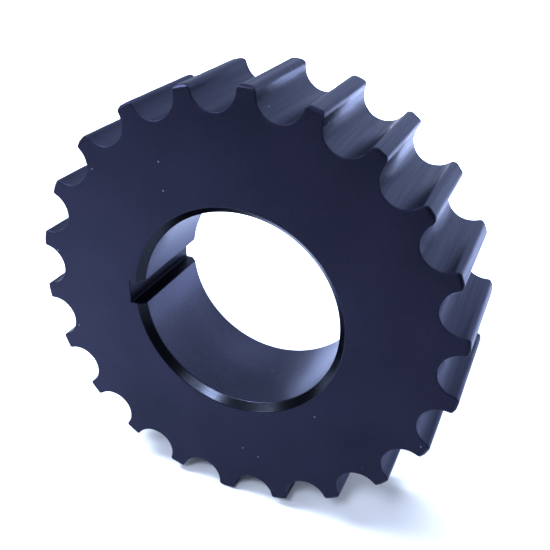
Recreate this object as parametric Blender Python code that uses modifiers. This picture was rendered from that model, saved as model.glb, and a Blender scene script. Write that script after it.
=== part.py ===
"""Timing belt pulley: a flangeless, hubless wheel with 22 round-bottomed belt grooves.

The real wheel is one piece of bar. It is turned to an outside diameter with small chamfers,
bored through with a chamfer at each mouth, hobbed with the belt grooves, and broached with one
full-length keyway. So it is one sub-part here, and each of those operations is one step below.

The wheel's centre is the origin, its axis lies along Y, and its front face looks along -Y.
Angles are measured about the axis from +X towards +Z, as seen from the front face.
"""

import math

import bmesh
import bpy

# Belt and teeth
TEETH = 22
BELT_PITCH = 0.008
PITCH_LINE_HEIGHT = 0.000686  # from the tooth tips out to the belt's pitch line
GROOVE_DEPTH = 0.00315
GROOVE_RADIUS = 0.00274
TIP_FILLET = 0.00067

# Turned blank
FACE_WIDTH = 0.015
TIP_CHAMFER = 0.0003

# Bore and keyway
BORE_DIAMETER = 0.0254
BORE_CHAMFER = 0.0009
KEYWAY_WIDTH = 0.0032
KEYWAY_DEPTH = 0.0017  # from the bore's wall to the keyway's floor

# Clocking about the axis, in radians
LOWEST_TOOTH_ANGLE = math.radians(270)
TEETH_TO_KEYWAY = 6  # teeth from the lowest one back to the last tooth before the keyway
KEYWAY_PAST_TOOTH = math.radians(10.9)  # from that tooth's middle on to the keyway's middle

# How finely the round stretches are faceted
GROOVE_POINTS = 13
FILLET_POINTS = 4
BORE_SIDES = 96
BLANK_SIDES = 176

CUT_PAST = 0.001  # how far a cutter reaches past what it cuts
WELD = 0.000001
SHARP_ANGLE = math.radians(32)

TOOTH_ANGLE = 2 * math.pi / TEETH
PITCH_RADIUS = TEETH * BELT_PITCH / (2 * math.pi)
TIP_RADIUS = PITCH_RADIUS - PITCH_LINE_HEIGHT
ROOT_RADIUS = TIP_RADIUS - GROOVE_DEPTH
BORE_RADIUS = BORE_DIAMETER / 2
KEYWAY_ANGLE = LOWEST_TOOTH_ANGLE - TEETH_TO_KEYWAY * TOOTH_ANGLE + KEYWAY_PAST_TOOTH

PART_COLLECTION = "timing_belt_pulley"
CUTTER_COLLECTION = "cutters"


def clear_scene():
    for existing in list(bpy.data.objects):
        bpy.data.objects.remove(existing, do_unlink=True)


def new_collection(name):
    collection = bpy.data.collections.new(name)
    bpy.context.scene.collection.children.link(collection)
    return collection


def arc(centre, radius, start, end, count):
    """Points on a circle from one direction to another, both ends included."""
    points = []
    for i in range(count):
        angle = start + (end - start) * i / (count - 1)
        x = centre[0] + radius * math.cos(angle)
        y = centre[1] + radius * math.sin(angle)
        points.append((x, y))
    return points


def half_groove():
    """Half of one groove, with the groove's middle on +X: from its bottom up to the tip land.

    The bottom and flank are one arc. A tip fillet is tangent to that arc and to the tip circle,
    so its centre is one fillet radius inside the tip circle and one fillet radius plus one
    groove radius from the groove's centre.
    """
    groove_centre = ROOT_RADIUS + GROOVE_RADIUS
    fillet_distance = TIP_RADIUS - TIP_FILLET
    between = GROOVE_RADIUS + TIP_FILLET
    cosine = (fillet_distance**2 + groove_centre**2 - between**2) / (
        2 * fillet_distance * groove_centre
    )
    fillet_angle = math.acos(cosine)
    fillet_x = fillet_distance * math.cos(fillet_angle)
    fillet_y = fillet_distance * math.sin(fillet_angle)
    towards_fillet = math.atan2(fillet_y, fillet_x - groove_centre)
    flank = arc((groove_centre, 0), GROOVE_RADIUS, math.pi, towards_fillet, GROOVE_POINTS)
    fillet_start = towards_fillet - math.pi
    fillet = arc((fillet_x, fillet_y), TIP_FILLET, fillet_start, fillet_angle, FILLET_POINTS)
    return flank + fillet[1:]


def turned(point, angle):
    """A point of a flat outline, turned about the axis."""
    x = point[0] * math.cos(angle) - point[1] * math.sin(angle)
    y = point[0] * math.sin(angle) + point[1] * math.cos(angle)
    return (x, y)


def toothed_outline():
    """The wheel's outline: the same groove once for each tooth, halfway between two teeth."""
    upper = half_groove()
    lower = [(x, -y) for x, y in reversed(upper[1:])]
    groove = lower + upper
    outline = []
    for i in range(TEETH):
        angle = LOWEST_TOOTH_ANGLE + (i + 0.5) * TOOTH_ANGLE
        outline += [turned(point, angle) for point in groove]
    return outline


def stand_on_axis(item):
    """Turns a shape that was made about local Z so that its axis lies along Y."""
    item.rotation_euler = (math.radians(90), 0, 0)
    bpy.context.view_layer.update()


def extruded_wheel(collection):
    """The toothed outline as a flat curve, thickened to the face width and made a mesh."""
    curve = bpy.data.curves.new("toothed_outline", "CURVE")
    curve.dimensions = "2D"
    curve.fill_mode = "BOTH"
    curve.extrude = FACE_WIDTH / 2
    outline = toothed_outline()
    spline = curve.splines.new("POLY")
    spline.points.add(len(outline) - 1)
    for point, (x, y) in zip(spline.points, outline):
        point.co = (x, y, 0, 1)
    spline.use_cyclic_u = True
    guide = bpy.data.objects.new("toothed_outline", curve)
    collection.objects.link(guide)
    stand_on_axis(guide)

    evaluated = guide.evaluated_get(bpy.context.evaluated_depsgraph_get())
    mesh = bpy.data.meshes.new_from_object(evaluated)
    work = bmesh.new()
    work.from_mesh(mesh)
    bmesh.ops.remove_doubles(work, verts=work.verts, dist=WELD)
    work.to_mesh(mesh)
    work.free()
    wheel = bpy.data.objects.new("toothed_pulley", mesh)
    collection.objects.link(wheel)
    wheel.matrix_world = guide.matrix_world.copy()
    bpy.data.objects.remove(guide, do_unlink=True)
    return wheel


def lathe(name, profile, sides, collection):
    """A solid turned about the wheel's axis, from (radius, height) points, top to bottom."""
    mesh = bpy.data.meshes.new(name)
    points = [(radius, 0, height) for radius, height in profile]
    edges = [(i, i + 1) for i in range(len(profile) - 1)]
    mesh.from_pydata(points, edges, [])
    item = bpy.data.objects.new(name, mesh)
    collection.objects.link(item)
    screw = item.modifiers.new("turn", "SCREW")
    screw.axis = "Z"
    screw.steps = sides
    screw.render_steps = sides
    screw.use_merge_vertices = True
    screw.merge_threshold = WELD
    stand_on_axis(item)
    return item


def chamfer_envelope(collection):
    """What the turned tip chamfers leave: a drum whose ends narrow at 45 degrees."""
    half = FACE_WIDTH / 2
    past = half + CUT_PAST
    end_radius = TIP_RADIUS - TIP_CHAMFER - CUT_PAST
    middle_radius = TIP_RADIUS + CUT_PAST
    middle_half = half - TIP_CHAMFER - CUT_PAST
    profile = [
        (0, past),
        (end_radius, past),
        (middle_radius, middle_half),
        (middle_radius, -middle_half),
        (end_radius, -past),
        (0, -past),
    ]
    return lathe("tip_chamfer_envelope", profile, BLANK_SIDES, collection)


def bore_cutter(collection):
    """The through bore, opening at 45 degrees at both mouths."""
    half = FACE_WIDTH / 2
    past = half + CUT_PAST
    mouth_radius = BORE_RADIUS + BORE_CHAMFER + CUT_PAST
    profile = [
        (0, past),
        (mouth_radius, past),
        (BORE_RADIUS, half - BORE_CHAMFER),
        (BORE_RADIUS, -half + BORE_CHAMFER),
        (mouth_radius, -past),
        (0, -past),
    ]
    return lathe("bore_cutter", profile, BORE_SIDES, collection)


def keyway_cutter(collection):
    """The broached slot: a bar from the axis out to the keyway's floor, past both faces."""
    reach = BORE_RADIUS + KEYWAY_DEPTH
    work = bmesh.new()
    bmesh.ops.create_cube(work, size=1)
    bmesh.ops.scale(work, vec=(reach, KEYWAY_WIDTH, FACE_WIDTH + 2 * CUT_PAST), verts=work.verts)
    bmesh.ops.translate(work, vec=(reach / 2, 0, 0), verts=work.verts)
    mesh = bpy.data.meshes.new("keyway_cutter")
    work.to_mesh(mesh)
    work.free()
    item = bpy.data.objects.new("keyway_cutter", mesh)
    collection.objects.link(item)
    item.rotation_euler = (math.radians(90), -KEYWAY_ANGLE, 0)
    bpy.context.view_layer.update()
    return item


def machine(wheel, cutter, operation):
    """One machining step on the wheel, with its hidden cutter."""
    cutter.hide_render = True
    cutter.display_type = "WIRE"
    step = wheel.modifiers.new(cutter.name, "BOOLEAN")
    step.operation = operation
    step.object = cutter
    step.solver = "EXACT"


def black_anodised_aluminium():
    """Satin black anodising with the blue cast that the dye gives."""
    material = bpy.data.materials.new("black_anodised_aluminium")
    material.use_nodes = True
    shader = material.node_tree.nodes["Principled BSDF"]
    shader.inputs["Base Color"].default_value = (0.035, 0.038, 0.085, 1)
    shader.inputs["Metallic"].default_value = 0.6
    shader.inputs["Roughness"].default_value = 0.42
    return material


def main():
    clear_scene()
    parts = new_collection(PART_COLLECTION)
    cutters = new_collection(CUTTER_COLLECTION)
    wheel = extruded_wheel(parts)
    machine(wheel, chamfer_envelope(cutters), "INTERSECT")
    machine(wheel, bore_cutter(cutters), "DIFFERENCE")
    machine(wheel, keyway_cutter(cutters), "DIFFERENCE")
    wheel.data.materials.append(black_anodised_aluminium())
    wheel.data.shade_smooth()
    wheel.data.set_sharp_from_angle(angle=SHARP_ANGLE)


main()
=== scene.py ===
"""Looks for a flangeless timing belt pulley, machined from one bar and anodised black.

The wheel's axis lies along Y, its front face looks along -Y, and its centre is the origin.
Angles are measured about the axis from +X towards +Z. Sizes are written in millimetres, and
mm() turns them to metres. Lights stand at places in metres.
"""

import math

import bpy
import numpy as np
from mathutils import Matrix, Vector


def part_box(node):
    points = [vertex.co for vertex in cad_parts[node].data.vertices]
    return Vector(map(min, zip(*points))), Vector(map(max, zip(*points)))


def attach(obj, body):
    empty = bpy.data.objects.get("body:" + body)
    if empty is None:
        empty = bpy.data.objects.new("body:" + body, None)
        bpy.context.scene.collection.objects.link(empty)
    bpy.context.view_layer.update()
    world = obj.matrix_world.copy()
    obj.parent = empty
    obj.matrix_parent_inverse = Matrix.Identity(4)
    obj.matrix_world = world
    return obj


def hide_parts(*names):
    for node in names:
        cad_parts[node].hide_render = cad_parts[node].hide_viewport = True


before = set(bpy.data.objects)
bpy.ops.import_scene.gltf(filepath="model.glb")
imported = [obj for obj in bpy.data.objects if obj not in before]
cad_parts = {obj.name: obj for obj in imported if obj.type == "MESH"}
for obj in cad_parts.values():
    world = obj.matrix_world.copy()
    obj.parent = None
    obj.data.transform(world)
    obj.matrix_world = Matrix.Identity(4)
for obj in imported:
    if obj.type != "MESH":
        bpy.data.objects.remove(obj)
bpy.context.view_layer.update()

NODE = "toothed_pulley"


def mm(length):
    """Millimetres to metres."""
    return length / 1000


def per(size):
    """The texture scale that draws features of a size in metres."""
    return 1 / size


def linear(code):
    """An sRGB hex colour as linear red, green, blue and alpha."""
    part = np.array([int(code[i : i + 2], 16) for i in (0, 2, 4)]) / 255
    part = np.where(part <= 0.04045, part / 12.92, ((part + 0.055) / 1.055) ** 2.4)
    return (*part.tolist(), 1.0)


# Sizes that the frame gives, in metres
wheel_low, wheel_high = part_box(NODE)
TIP_RADIUS = (wheel_high.z - wheel_low.z) / 2
HALF_WIDTH = (wheel_high.y - wheel_low.y) / 2

# The wheel's own form
TEETH = 22
GROOVE_DEPTH = mm(3.15)
GROOVE_RADIUS = mm(2.74)
TIP_FILLET = mm(0.67)
TIP_CHAMFER = mm(0.3)
BORE_RADIUS = mm(12.7)
BORE_CHAMFER = mm(0.9)
KEYWAY_HALF_WIDTH = mm(1.6)
KEYWAY_FLOOR = mm(14.4)  # from the axis
EDGE_BREAK = mm(0.11)  # the deburred edges round the teeth
CHAMFER_BREAK = mm(0.07)  # the softer turned edges of the bore's chamfers

TOOTH_ANGLE = 2 * math.pi / TEETH
LOWEST_TOOTH_ANGLE = math.radians(270)
TEETH_TO_KEYWAY = 6  # teeth from the lowest one back to the last tooth before the keyway
KEYWAY_PAST_TOOTH = math.radians(10.9)  # from that tooth's middle on to the keyway's middle
KEYWAY_ANGLE = LOWEST_TOOTH_ANGLE - TEETH_TO_KEYWAY * TOOTH_ANGLE + KEYWAY_PAST_TOOTH

# How finely the form is sampled
GROOVE_STEPS = 22
FILLET_STEPS = 8
LAND_STEPS = 3
BREAK_STEPS = 4
KEYWAY_WALL_STEPS = 16
KEYWAY_FLOOR_STEPS = 15  # for half the floor
KEYWAY_STEPS = KEYWAY_FLOOR_STEPS + KEYWAY_WALL_STEPS  # from its middle to its corner

# The finishes' places in the mesh's list of materials
ON_FACE, ON_BORE, ON_CHAMFER, ON_TEETH, IN_KEYWAY = range(5)
# Rows of faces on the bore's wall, its chamfer, the face and the teeth, in half the section
ROWS_OF_EACH = (4, 4, 3, 8)

# Black dye in clear oxide looks navy where light strikes it. Each pair is its two shades.
DYE_ON_FACE = (linear("1B1C28"), linear("222231"))
# Lighter and greyer than the face's pair: painted highlight colour, to whiten the chamfer's
# streak
DYE_AND_PAINTED_HIGHLIGHT_ON_CHAMFER = (linear("1C1E24"), linear("25272E"))
DYE_ON_TEETH = (linear("1D1E2B"), linear("252535"))
# Lighter than the face's pair, though the anodising is the same: painted sheen in the bore
DYE_AND_PAINTED_SHEEN_IN_BORE = (linear("272836"), linear("303243"))
# Darker than the other pairs, though the anodising is the same: painted shade for the keyway's
# recess
DYE_AND_PAINTED_SHADE_IN_KEYWAY = (linear("15151C"), linear("1B1B27"))
EDGE_TINT = linear("DFE3F3")  # seen edge-on, clear oxide shines pale blue, bare metal white
CLOUD = mm(9)  # how far apart darker and lighter places in the dye are
GRAIN = mm(0.3)  # etched grain is some 0.02 mm across, too fine to show, so it is drawn coarser
GRAIN_SHARE = 0.35  # of the height, against the tool's marks
ROUGHNESS_VARIES = 0.05  # up and down, with the tool's marks
DUST = linear("565C72")
DUST_SIZE = mm(0.18)
DUST_APART = mm(3)  # in all directions, so few grains happen to touch a surface

# How tool marks run
RINGS = "rings on a face"
BORE_RINGS = "rings in the bore"
LENGTHWISE = "lines along the axis"
LINE_LENGTH = 40  # of a lengthwise line, in its own widths

# Camera: turns in degrees, places in tip radii, and the lens's shift in image widths
AZIMUTH, ELEVATION, ROLL = 22.22, 29.69, 3.34
CAMERA_DISTANCE, CAMERA_ASIDE, CAMERA_ABOVE = 3.5745, -0.044, -0.0193
LENS_MM = 50.61
LENS_SHIFT = (0.045, 0.032)

# Studio. Each lobe of the backdrop is its azimuth and elevation in degrees and its strength.
LIGHT_COLOUR = linear("DCE8FF")  # a slightly cool white, as of daylight lamps
BACKDROP = ((205, 28, 0.26), (180, 6, 2.1), (150, 22, 0.85))
BACKDROP_LEAST = 0.15
LOBE_POWER = 4.0
FLOOR_REACH = 3.0  # metres each way


def camera():
    """A short portrait lens above the wheel and to its right, rolled a little about its own
    axis. Its three directions are worked out from the azimuth, elevation and roll."""
    azimuth, elevation, roll = (math.radians(angle) for angle in (AZIMUTH, ELEVATION, ROLL))
    distance = CAMERA_DISTANCE * TIP_RADIUS
    aside, above = CAMERA_ASIDE * TIP_RADIUS, CAMERA_ABOVE * TIP_RADIUS
    back = Vector(
        (
            math.sin(azimuth) * math.cos(elevation),
            -math.cos(azimuth) * math.cos(elevation),
            math.sin(elevation),
        )
    )
    level = Vector((math.cos(azimuth), math.sin(azimuth), 0))
    upright = back.cross(level)
    right = level * math.cos(roll) + upright * math.sin(roll)
    up = upright * math.cos(roll) - level * math.sin(roll)
    data = bpy.data.cameras.new("camera")
    data.lens = LENS_MM
    data.sensor_width = 36
    data.shift_x, data.shift_y = LENS_SHIFT
    data.clip_start = 0.005
    data.clip_end = 20
    item = bpy.data.objects.new("camera", data)
    turn = Matrix((right, up, back)).transposed()
    place = back * distance + right * aside + up * above
    item.matrix_world = Matrix.Translation(place) @ turn.to_4x4()
    bpy.context.scene.collection.objects.link(item)
    bpy.context.scene.camera = item


def arc(centre, radius, start, end, steps):
    """Points on a circle between two directions, and the outward direction at each."""
    angle = np.linspace(start, end, steps + 1)
    outward = np.stack([np.cos(angle), np.sin(angle)], axis=1)
    return np.array(centre) + radius * outward, outward


def half_groove():
    """Half a groove with its middle on +X, from its bottom to the middle of the tip land.

    One arc makes the bottom and flank. A smaller arc, tangent to it and to the tip circle,
    rounds the tip, and the tip circle itself makes the land. Gives the points and, at each,
    the direction that leads into the metal: away from the groove's centre on the first arc,
    towards the arc's centre on the second, and towards the axis on the land.
    """
    groove_centre = TIP_RADIUS - GROOVE_DEPTH + GROOVE_RADIUS
    fillet_distance = TIP_RADIUS - TIP_FILLET
    between = GROOVE_RADIUS + TIP_FILLET
    cosine = fillet_distance**2 + groove_centre**2 - between**2
    fillet_angle = math.acos(cosine / (2 * fillet_distance * groove_centre))
    fillet_centre = fillet_distance * np.array([math.cos(fillet_angle), math.sin(fillet_angle)])
    towards = math.atan2(fillet_centre[1], fillet_centre[0] - groove_centre)
    flank, flank_out = arc((groove_centre, 0), GROOVE_RADIUS, math.pi, towards, GROOVE_STEPS)
    tip, tip_out = arc(fillet_centre, TIP_FILLET, towards - math.pi, fillet_angle, FILLET_STEPS)
    land, land_out = arc((0, 0), TIP_RADIUS, fillet_angle, TOOTH_ANGLE / 2, LAND_STEPS)
    points = np.concatenate([flank, tip[1:], land[1:]])
    inward = np.concatenate([flank_out, -tip_out[1:], -land_out[1:]])
    return points, inward


def tooth_outline():
    """The whole toothed outline and its inward directions: the groove and its mirror image,
    turned by one tooth angle for each of the teeth, all at once."""
    points, inward = half_groove()
    mirror = np.array([1, -1])
    points = np.concatenate([(points[1:] * mirror)[::-1], points[:-1]])
    inward = np.concatenate([(inward[1:] * mirror)[::-1], inward[:-1]])
    angle = LOWEST_TOOTH_ANGLE + (np.arange(TEETH) + 0.5) * TOOTH_ANGLE
    turn = np.stack([np.cos(angle), np.sin(angle), -np.sin(angle), np.cos(angle)], axis=1)
    turn = turn.reshape(TEETH, 1, 2, 2)
    points = (points[None, :, None, :] @ turn)[:, :, 0].reshape(-1, 2)
    inward = (inward[None, :, None, :] @ turn)[:, :, 0].reshape(-1, 2)
    return points, inward


def from_keyway(around):
    """How far each outline angle lies from the keyway's middle, as an angle and as a count of
    points, both negative before it and positive after it."""
    offset = np.mod(around - KEYWAY_ANGLE + math.pi, 2 * math.pi) - math.pi
    middle = int(np.argmin(np.abs(offset)))
    half_round = len(around) // 2
    step = np.mod(np.arange(len(around)) - middle + half_round, len(around)) - half_round
    return offset, step


def keyed_ring(radius, around, grow):
    """A circle of one radius with the keyway let into it, one point for each outline angle.

    The points nearest the keyway are shared out evenly along its wall, floor and wall. The
    other points keep to the circle, with their angles eased so that they start at the
    keyway's corners. A running mean of three points then softens each corner. The keyway is
    wider and deeper by `grow`.
    """
    offset, step = from_keyway(around)
    side, count = np.sign(step), np.abs(step)
    half_width, floor_radius = KEYWAY_HALF_WIDTH + grow, KEYWAY_FLOOR + grow
    corner_angle = math.asin(half_width / radius)
    corner_depth = radius * math.cos(corner_angle)

    along = np.clip(count / KEYWAY_FLOOR_STEPS, 0, 1)
    out = np.clip((count - KEYWAY_FLOOR_STEPS) / KEYWAY_WALL_STEPS, 0, 1)
    slot_x = floor_radius + (corner_depth - floor_radius) * out
    slot_y = side * half_width * along

    before, after = np.abs(offset[step == -KEYWAY_STEPS]), offset[step == KEYWAY_STEPS]
    from_corner = np.where(side < 0, before, after)
    eased = (np.abs(offset) - from_corner) / (math.pi - from_corner)
    angle = corner_angle + (math.pi - corner_angle) * np.clip(eased, 0, 1)
    round_x, round_y = radius * np.cos(angle), side * radius * np.sin(angle)

    in_slot = (count <= KEYWAY_STEPS)[:, None]
    slot, circle = np.stack([slot_x, slot_y], axis=1), np.stack([round_x, round_y], axis=1)
    ring = np.where(in_slot, slot, circle)
    near_slot = (count <= KEYWAY_STEPS + 2)[:, None]
    softened = (np.roll(ring, 1, axis=0) + ring + np.roll(ring, -1, axis=0)) / 3
    ring = np.where(near_slot, softened, ring)
    cosine, sine = math.cos(KEYWAY_ANGLE), math.sin(KEYWAY_ANGLE)
    return ring @ np.array([[cosine, sine], [-sine, cosine]])


def bore_section():
    """Half the section of the bore, from its middle to the face: (radius, height from the
    middle plane, how much wider the keyway is there). A softened edge is a few points that
    leave one flat early and join the next late, and a short step on either side of them keeps
    both flats flat."""
    slant = CHAMFER_BREAK * math.sqrt(0.5)
    chamfer_start = HALF_WIDTH - BORE_CHAMFER
    chamfer_end = BORE_RADIUS + BORE_CHAMFER
    return np.array(
        [
            (BORE_RADIUS, 0, 0),
            (BORE_RADIUS, chamfer_start - 2 * CHAMFER_BREAK, 0),
            (BORE_RADIUS, chamfer_start - CHAMFER_BREAK, 0),
            (BORE_RADIUS + 0.3 * slant, chamfer_start + 0.1 * slant, 0),
            (BORE_RADIUS + slant, chamfer_start + slant, 0),
            (BORE_RADIUS + 2 * slant, chamfer_start + 2 * slant, 0),
            (chamfer_end - 2 * slant, HALF_WIDTH - 2 * slant, 0),
            (chamfer_end - slant, HALF_WIDTH - slant, 0),
            (chamfer_end - 0.1 * slant, HALF_WIDTH - 0.3 * slant, 0.6 * CHAMFER_BREAK),
            (chamfer_end + CHAMFER_BREAK, HALF_WIDTH, CHAMFER_BREAK),
            (chamfer_end + 2 * CHAMFER_BREAK, HALF_WIDTH, 2 * CHAMFER_BREAK),
        ]
    )


def tooth_section():
    """Half the section through the teeth, from the face to the middle: (how far the outline
    is drawn into the metal, height from the middle plane, how far inside the tip circle the
    turned tip chamfer lies there). The edge break is a quarter circle."""
    turn = np.linspace(0, math.pi / 2, BREAK_STEPS + 1)
    drawn_in = EDGE_BREAK * (1 - np.sin(turn))
    drop = EDGE_BREAK * (1 - np.cos(turn))
    edge = np.stack([drawn_in, HALF_WIDTH - drop, TIP_CHAMFER - drop], axis=1)
    start = [(2 * EDGE_BREAK, HALF_WIDTH, TIP_CHAMFER + EDGE_BREAK)]
    chamfer = HALF_WIDTH - TIP_CHAMFER
    finish = [(0, chamfer, 0), (0, chamfer - EDGE_BREAK, 0), (0, 0, 0)]
    return np.concatenate([start, edge, finish])


def pulley_surface():
    """The wheel's skin as one closed grid: around the wheel one way, and round its section
    the other way, from the bore's middle by the front face and the teeth to the rear."""
    outline, inward = tooth_outline()
    around = np.unwrap(np.arctan2(outline[:, 1], outline[:, 0]))
    bore, teeth = bore_section(), tooth_section()
    rings = np.stack([keyed_ring(radius, around, grow) for radius, _, grow in bore])
    toothed = outline + teeth[:, :1, None] * inward
    reach = np.linalg.norm(toothed, axis=2, keepdims=True)
    limit = (TIP_RADIUS - teeth[:, 2])[:, None, None]
    toothed = toothed * np.minimum(1, limit / reach)

    flat = np.concatenate([rings, toothed])
    height = np.concatenate([bore[:, 1], teeth[:, 1]])
    flat = np.concatenate([flat, flat[-2:0:-1]])
    height = np.concatenate([-height, height[-2:0:-1]])
    grid = np.empty((len(flat), len(around), 3))
    grid[..., 0] = flat[..., 0]
    grid[..., 1] = height[:, None]
    grid[..., 2] = flat[..., 1]
    return grid, around


def finish_by_face(around):
    """Which finish each face of the grid has: the one of its row in the section, or the
    keyway's own where a row of the bore or its chamfer crosses the keyway."""
    half = np.repeat([ON_BORE, ON_CHAMFER, ON_FACE, ON_TEETH], ROWS_OF_EACH)
    by_row = np.concatenate([half, half[::-1]])
    finish = np.repeat(by_row[:, None], len(around), axis=1)
    _, step = from_keyway(around)
    in_keyway = (step >= -KEYWAY_STEPS) & (step < KEYWAY_STEPS)
    in_bore = (by_row == ON_BORE) | (by_row == ON_CHAMFER)
    finish[in_bore[:, None] & in_keyway[None, :]] = IN_KEYWAY
    return finish


def build_pulley(finishes):
    """Puts the grid into one mesh, closed both ways, with its faces looking outwards."""
    grid, around = pulley_surface()
    rows, columns = grid.shape[:2]
    index = np.arange(rows * columns).reshape(rows, columns)
    below = np.roll(index, -1, axis=0)
    corners = [index, below, np.roll(below, -1, axis=1), np.roll(index, -1, axis=1)]
    quads = np.stack(corners, axis=2).reshape(-1, 4)
    mesh = bpy.data.meshes.new("pulley")
    mesh.vertices.add(rows * columns)
    mesh.vertices.foreach_set("co", grid.ravel())
    mesh.loops.add(quads.size)
    mesh.loops.foreach_set("vertex_index", quads.ravel())
    mesh.polygons.add(len(quads))
    mesh.polygons.foreach_set("loop_start", np.arange(0, quads.size, 4))
    for finish in finishes:
        mesh.materials.append(finish)
    mesh.polygons.foreach_set("material_index", finish_by_face(around).ravel())
    mesh.polygons.foreach_set("use_smooth", np.ones(len(quads), dtype=bool))
    mesh.update(calc_edges=True)
    mesh.validate()
    item = bpy.data.objects.new("pulley", mesh)
    bpy.context.scene.collection.objects.link(item)
    return item


def add_node(tree, kind, values=None, links=None, **settings):
    """Adds one node: `settings` are its own properties, `values` are set on its inputs, and
    `links` joins other nodes' outputs to its inputs."""
    node = tree.nodes.new("ShaderNode" + kind)
    for name, value in settings.items():
        setattr(node, name, value)
    for name, value in (values or {}).items():
        node.inputs[name].default_value = value
    for name, output in (links or {}).items():
        tree.links.new(output, node.inputs[name])
    return node


def new_tree(owner):
    """An empty node tree on a material or a world."""
    owner.use_nodes = True
    owner.node_tree.nodes.clear()
    return owner.node_tree


def tool_marks(tree, place, way, spacing):
    """The height of the tool's marks, from 0 to 1: a noise that changes only across them.

    Rings on a face change with the distance from the axis, and rings in the bore with the
    place along it. Lengthwise lines are a noise in space, drawn out along the axis.
    """
    noise = {"Scale": per(spacing), "Detail": 3.0, "Roughness": 0.6}
    if way == LENGTHWISE:
        squeeze = {1: (1, 1 / LINE_LENGTH, 1)}
        drawn_out = add_node(tree, "VectorMath", squeeze, {0: place}, operation="MULTIPLY")
        return add_node(tree, "TexNoise", noise, {"Vector": drawn_out.outputs[0]})
    if way == BORE_RINGS:
        across = add_node(tree, "SeparateXYZ", {}, {0: place}).outputs["Y"]
    else:
        flat = add_node(tree, "VectorMath", {1: (1, 0, 1)}, {0: place}, operation="MULTIPLY")
        across = add_node(tree, "VectorMath", {}, {0: flat.outputs[0]}, operation="LENGTH")
        across = across.outputs["Value"]
    return add_node(tree, "TexNoise", noise, {"W": across}, noise_dimensions="1D")


def anodised(name, way, spacing, depth, roughness, dye_and_painted_light):
    """Anodised aluminium: metal under a clear dyed oxide, so it shines as metal does, in navy.

    Anodising follows the machined surface, so the tool's marks stay: `way` is how they run,
    `spacing` how far apart they are and `depth` how deep. Fine etching before dyeing gives
    a satin grain, the colour takes a little unevenly, and a few grains of dust lie on top.
    `dye_and_painted_light` is the pair of shades: the anodising's own colour on the face and
    teeth; on the bore, chamfer and keyway it also holds painted sheen, highlight and shade.
    """
    material = bpy.data.materials.new(name)
    tree = new_tree(material)
    place = add_node(tree, "TexCoord").outputs["Object"]
    marks = tool_marks(tree, place, way, spacing).outputs["Fac"]
    grain = add_node(tree, "TexNoise", {"Scale": per(GRAIN), "Detail": 2.0}, {"Vector": place})
    grain = grain.outputs["Fac"]
    height = add_node(tree, "Mix", {"Factor": GRAIN_SHARE}, {"A": marks, "B": grain})
    bump = add_node(tree, "Bump", {"Distance": depth}, {"Height": height.outputs["Result"]})

    cloud = {"Scale": per(CLOUD), "Detail": 3.0}
    cloud = add_node(tree, "TexNoise", cloud, {"Vector": place}).outputs["Fac"]
    uneven = add_node(tree, "Mix", {"Factor": 0.5}, {"A": cloud, "B": grain}).outputs["Result"]
    contrast = {"From Min": 0.35, "From Max": 0.65}
    uneven = add_node(tree, "MapRange", contrast, {"Value": uneven}).outputs["Result"]
    # The two shades: on the bore, chamfer and keyway they also hold painted sheen, highlight and
    # shade
    shades = {"A": dye_and_painted_light[0], "B": dye_and_painted_light[1]}
    shade = add_node(tree, "Mix", shades, {"Factor": uneven}, data_type="RGBA")

    specks = add_node(tree, "TexVoronoi", {"Scale": per(DUST_APART)}, {"Vector": place})
    rim = {
        "From Min": DUST_SIZE / DUST_APART / 2,
        "From Max": 1.5 * DUST_SIZE / DUST_APART / 2,
        "To Min": 1.0,
        "To Max": 0.0,
    }
    specks = add_node(tree, "MapRange", rim, {"Value": specks.outputs["Distance"]})
    laid = {"A": shade.outputs["Result"], "Factor": specks.outputs["Result"]}
    colour = add_node(tree, "Mix", {"B": DUST}, laid, data_type="RGBA").outputs["Result"]

    dullness = {
        "From Min": 0.3,
        "From Max": 0.7,
        "To Min": roughness - ROUGHNESS_VARIES,
        "To Max": roughness + ROUGHNESS_VARIES,
    }
    dullness = add_node(tree, "MapRange", dullness, {"Value": marks}).outputs["Result"]
    shader = add_node(
        tree,
        "BsdfPrincipled",
        {"Metallic": 1.0, "Specular Tint": EDGE_TINT},
        {"Base Color": colour, "Roughness": dullness, "Normal": bump.outputs["Normal"]},
    )
    add_node(tree, "OutputMaterial", {}, {"Surface": shader.outputs["BSDF"]})
    return material


def floor():
    """A wide pale table top just under the wheel, matt as card is."""
    material = bpy.data.materials.new("white_card_matt")
    tree = new_tree(material)
    shader = add_node(tree, "BsdfPrincipled", {"Base Color": linear("E8E9EC"), "Roughness": 0.9})
    add_node(tree, "OutputMaterial", {}, {"Surface": shader.outputs["BSDF"]})
    corner = np.array([(-1, -1, 0), (1, -1, 0), (1, 1, 0), (-1, 1, 0)]) * FLOOR_REACH
    corner[:, 2] = wheel_low.z
    mesh = bpy.data.meshes.new("floor")
    mesh.from_pydata(corner.tolist(), [], [(0, 1, 2, 3)])
    mesh.materials.append(material)
    item = bpy.data.objects.new("floor", mesh)
    bpy.context.scene.collection.objects.link(item)


def light(name, place, aim, size, power, spread=180):
    """A square soft light at a place, turned to face a point. The camera doesn't see it."""
    data = bpy.data.lights.new(name, "AREA")
    data.color = LIGHT_COLOUR[:3]
    data.size = size
    data.energy = power
    data.spread = math.radians(spread)
    item = bpy.data.objects.new(name, data)
    place = Vector(place)
    turn = (place - Vector(aim)).to_track_quat("Z", "Y").to_matrix().to_4x4()
    item.matrix_world = Matrix.Translation(place) @ turn
    item.visible_camera = False
    bpy.context.scene.collection.objects.link(item)


def towards(azimuth, elevation, distance=1.0):
    """The point that far from the wheel, with the azimuth from the front and to the right."""
    azimuth, elevation = math.radians(azimuth), math.radians(elevation)
    level = distance * math.cos(elevation)
    return (level * math.sin(azimuth), -level * math.cos(azimuth), distance * math.sin(elevation))


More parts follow.
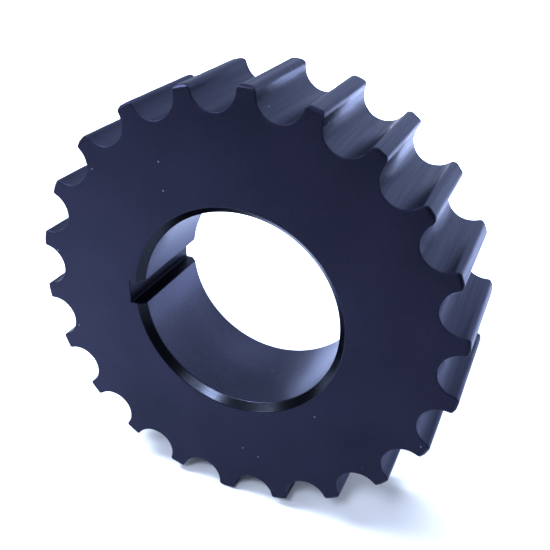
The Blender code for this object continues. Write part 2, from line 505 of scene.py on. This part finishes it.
def surroundings():
    """A pale studio backdrop behind the wheel, dim in front, where the camera stands: an even
    level plus, for each lobe, its strength times a power of the cosine of the angle from the
    lobe's middle."""
    world = bpy.data.worlds.new("studio")
    bpy.context.scene.world = world
    tree = new_tree(world)
    way = add_node(tree, "TexCoord").outputs["Generated"]
    level = None
    for azimuth, elevation, strength in BACKDROP:
        aim = {1: towards(azimuth, elevation)}
        along = add_node(tree, "VectorMath", aim, {0: way}, operation="DOT_PRODUCT")
        along = add_node(tree, "Math", {1: 0.0}, {0: along.outputs["Value"]}, operation="MAXIMUM")
        along = add_node(tree, "Math", {1: LOBE_POWER}, {0: along.outputs[0]}, operation="POWER")
        along = add_node(
            tree,
            "Math",
            {1: strength, 2: BACKDROP_LEAST / len(BACKDROP)},
            {0: along.outputs[0]},
            operation="MULTIPLY_ADD",
        )
        if level is None:
            level = along
        else:
            level = add_node(tree, "Math", {}, {0: level.outputs[0], 1: along.outputs[0]})
    shine = add_node(
        tree, "Background", {"Color": LIGHT_COLOUR}, {"Strength": level.outputs[0]}
    )
    add_node(tree, "OutputWorld", {}, {"Surface": shine.outputs["Background"]})


camera()
surroundings()
floor()
# Name, place and the point faced in metres, width in metres, power in watts, spread in degrees.
# The first lights the floor around and behind the wheel, the next two the face from its left,
# the next two the bore's lower chamfer, and the last the teeth on the right.
light("softbox_above", (0, 0.29, 0.55), (0, 0.31, 0), 0.3, 7.5, 46)
light("lamp_left", (-0.08, -0.03, 0.09), (-0.065, -0.04, -0.027), 0.06, 0.31, 125)
light("lamp_front_left", (-0.16, -0.16, 0.1), (-0.16, -0.16, 0), 0.08, 0.36)
light("softbox_front", towards(-3, 47, 0.4), (0, 0, 0), 0.08, 0.033, 30)
light("softbox_front_dim", towards(15, 43, 0.4), (0, 0, 0), 0.13, 0.010, 30)
light("panel_right", towards(115, 12, 0.3), (0, 0, 0), 0.3, 0.26)

# Turned on the lathe, so its marks are rings about the axis: a satin sheen, even and soft
face = anodised("aluminium_turned_anodised", RINGS, mm(0.2), mm(0.0008), 0.38, DYE_ON_FACE)
# Bored to size with a fine feed: smoother, so it mirrors the backdrop in broad soft bands. Its
# shades are lighter than the face's, though the anodising is the same: painted sheen that
# brightens those bands
bore = anodised(
    "aluminium_bored_anodised_painted_sheen", BORE_RINGS, mm(0.15), mm(0.0005), 0.37, DYE_AND_PAINTED_SHEEN_IN_BORE
)
# Cut in one pass by a keen tool: the glossiest place, with one short bright streak. Its shades
# are lighter and greyer than the face's: a painted highlight colour that whitens the streak
chamfer = anodised(
    "aluminium_chamfered_anodised_painted_highlight", RINGS, mm(0.08), mm(0.0008), 0.22, DYE_AND_PAINTED_HIGHLIGHT_ON_CHAMFER
)
# Hobbed along the axis, then etched: faint lengthwise marks and a dull grain break the shine
teeth = anodised(
    "aluminium_hobbed_anodised", LENGTHWISE, mm(0.35), mm(0.006), 0.45, DYE_ON_TEETH
)
# Torn a little by the broach: the roughest place. Its shades are drawn darker than the rest:
# painted shade in the keyway's recess
keyway = anodised(
    "aluminium_broached_anodised_painted_shade", LENGTHWISE, mm(0.3), mm(0.004), 0.44, DYE_AND_PAINTED_SHADE_IN_KEYWAY
)
pulley = build_pulley([face, bore, chamfer, teeth, keyway])
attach(pulley, "root")
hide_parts(NODE)

bpy.context.scene.view_settings.view_transform = "Standard"
